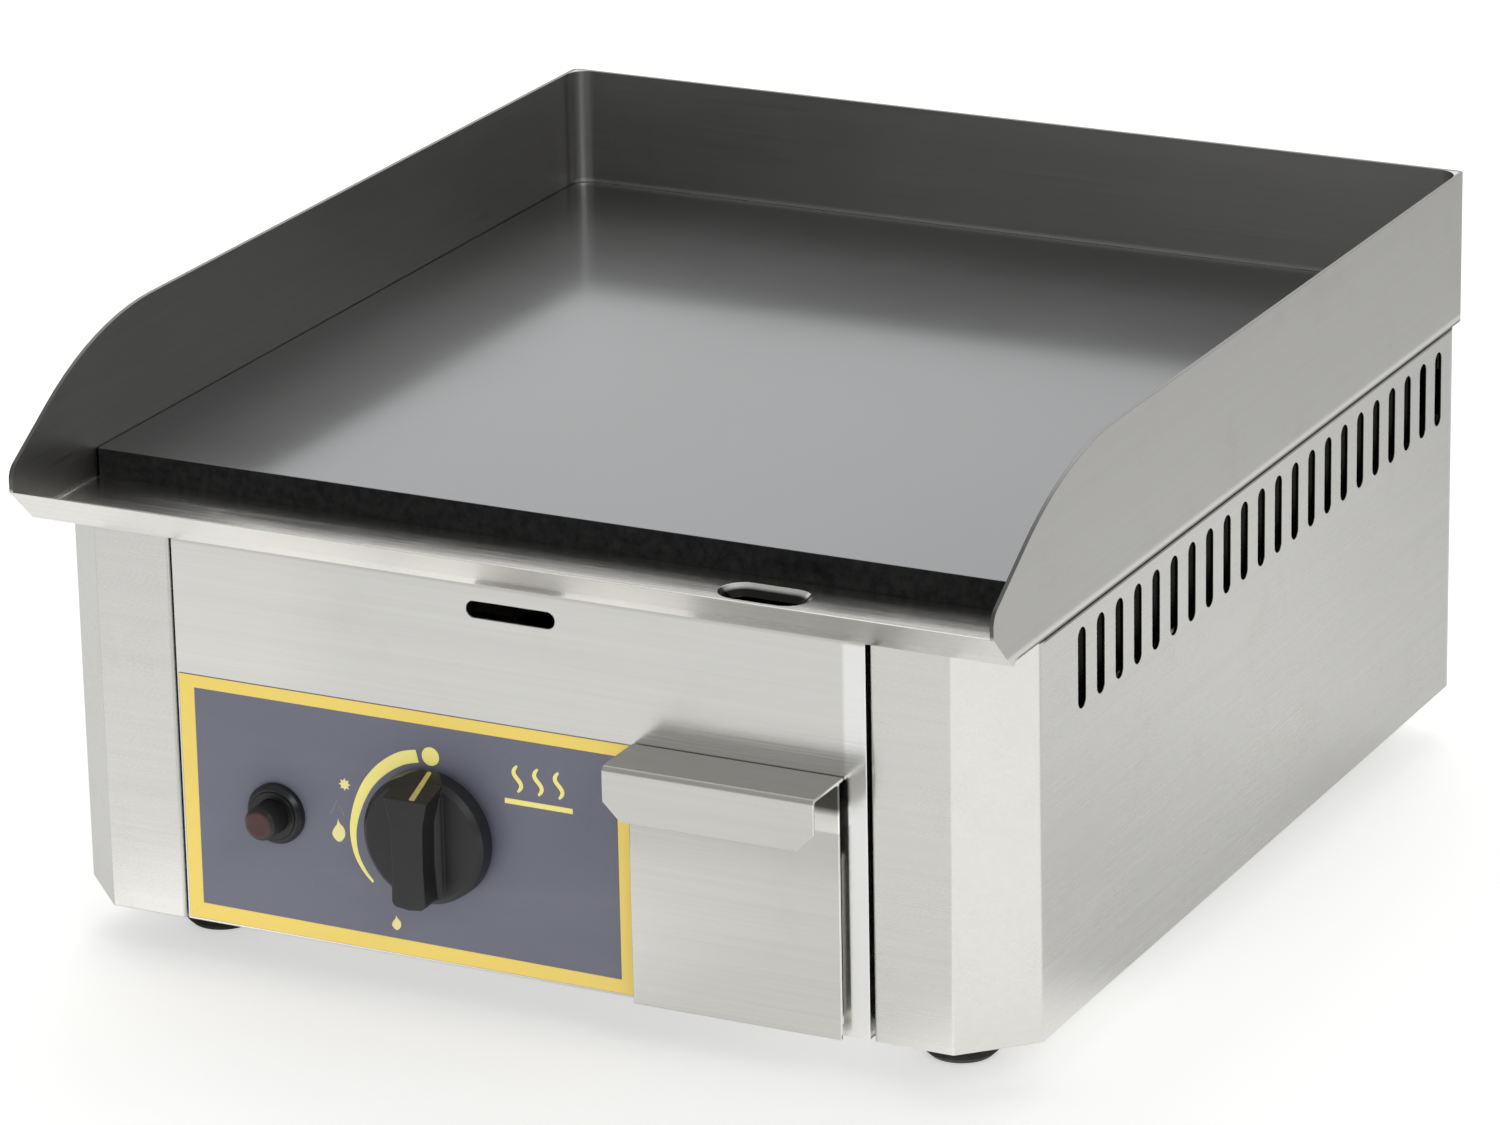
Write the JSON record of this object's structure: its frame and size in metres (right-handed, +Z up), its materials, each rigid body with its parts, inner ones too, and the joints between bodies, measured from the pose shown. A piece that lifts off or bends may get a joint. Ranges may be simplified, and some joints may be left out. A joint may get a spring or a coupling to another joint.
{
  "type": "countertop gas griddle",
  "caption": "Countertop gas griddle with a flat steel plate, folded splash guard, front grease gutter, pull-out drawer, push-and-turn knob and push-button igniter.",
  "frame": {"origin": "centre of the bounding box's underside, in the plane the four feet stand on", "axes": "+X to the right seen from the front, +Y towards the back (gas inlet), +Z up"},
  "size_m": [0.4, 0.475, 0.235],
  "materials": {
    "brushed_stainless": "brushed, satin",
    "mill_stainless": "mill finish",
    "griddle_steel": "ground and satin polished, darkened by heat",
    "panel_foil": "matt printed foil with a yellow border",
    "black_thermoset": "satin moulded",
    "black_plastic": "semi gloss",
    "igniter_button_plastic": "satin, dark red brown",
    "foot_rubber": "matt",
    "brass": "machined",
    "zinc_steel": "zinc plated",
    "copper_pipe": "drawn tube, lightly tarnished",
    "burner_steel": "heat tinted",
    "silicone_wire": "matt",
    "white_ceramic": "glazed"
  },
  "bodies": {
    "casing": {"air_shutter": "burner_steel", "back_panel": "mill_stainless", "back_panel_screws": "zinc_steel", "base_pan": "mill_stainless", "base_screws": "zinc_steel", "burner": "burner_steel", "burner_straps": "mill_stainless", "control_label": "panel_foil", "drain_chute": "mill_stainless", "electrode_insulator": "white_ceramic", "electrode_rod": "zinc_steel", "foot_nuts": "zinc_steel", "foot_screws": "zinc_steel", "front_burner_rail": "mill_stainless", "front_fascia": "brushed_stainless", "front_left_foot": "foot_rubber", "front_right_foot": "foot_rubber", "gas_inlet_fitting": "brass", "gas_valve_body": "brass", "griddle_plate": "griddle_steel", "heat_shield": "mill_stainless", "hood": "brushed_stainless", "hood_brackets": "mill_stainless", "igniter_bezel_nut": "black_plastic", "igniter_body": "black_plastic", "igniter_spring": "zinc_steel", "ignition_wire": "silicone_wire", "injector": "brass", "injector_holder": "brass", "injector_pipe": "copper_pipe", "inlet_locknut": "brass", "inlet_pipe": "copper_pipe", "left_drawer_runner": "mill_stainless", "left_side_panel": "brushed_stainless", "rear_burner_rail": "mill_stainless", "rear_left_foot": "foot_rubber", "rear_right_foot": "foot_rubber", "right_drawer_runner": "mill_stainless", "right_side_panel": "brushed_stainless", "safety_magnet": "zinc_steel", "safety_spring": "zinc_steel", "stem_spring": "zinc_steel", "thermocouple": "copper_pipe", "valve_bracket": "mill_stainless", "valve_bracket_screws": "zinc_steel"},
    "drawer": {"drawer_front": "brushed_stainless", "drawer_box": "mill_stainless"},
    "valve_plug": {"valve_plug": "brass"},
    "knob": {"knob": "black_thermoset", "valve_stem": "zinc_steel"},
    "safety_rod": {"safety_rod": "zinc_steel"},
    "igniter_button": {"igniter_button": "igniter_button_plastic"}
  },
  "joints": [
    {"name": "drawer_slide", "type": "slide", "parent": "casing", "child": "drawer", "axis": [0, -1, 0], "range_m": [0, 0.28]},
    {"name": "knob_turn", "type": "hinge", "parent": "casing", "child": "valve_plug", "pos_m": [-0.034, -0.2125, 0.0725], "axis": [0, -1, 0], "range_deg": [0, 155]},
    {"name": "knob_push", "type": "slide", "parent": "valve_plug", "child": "knob", "axis": [0, 1, 0], "range_m": [0, 0.003], "stiffness_N_per_m": 900, "springref_m": -0.004, "deforming": ["stem_spring"]},
    {"name": "safety_push", "type": "slide", "parent": "casing", "child": "safety_rod", "axis": [0, 1, 0], "range_m": [0, 0.003], "deforming": ["safety_spring"]},
    {"name": "igniter_press", "type": "slide", "parent": "casing", "child": "igniter_button", "axis": [0, 1, 0], "range_m": [0, 0.006], "stiffness_N_per_m": 1500, "springref_m": -0.003, "deforming": ["igniter_spring"]}
  ],
  "couplings": [
    {"joint": "safety_push", "follows": "knob_push", "ratio": 1}
  ]
}
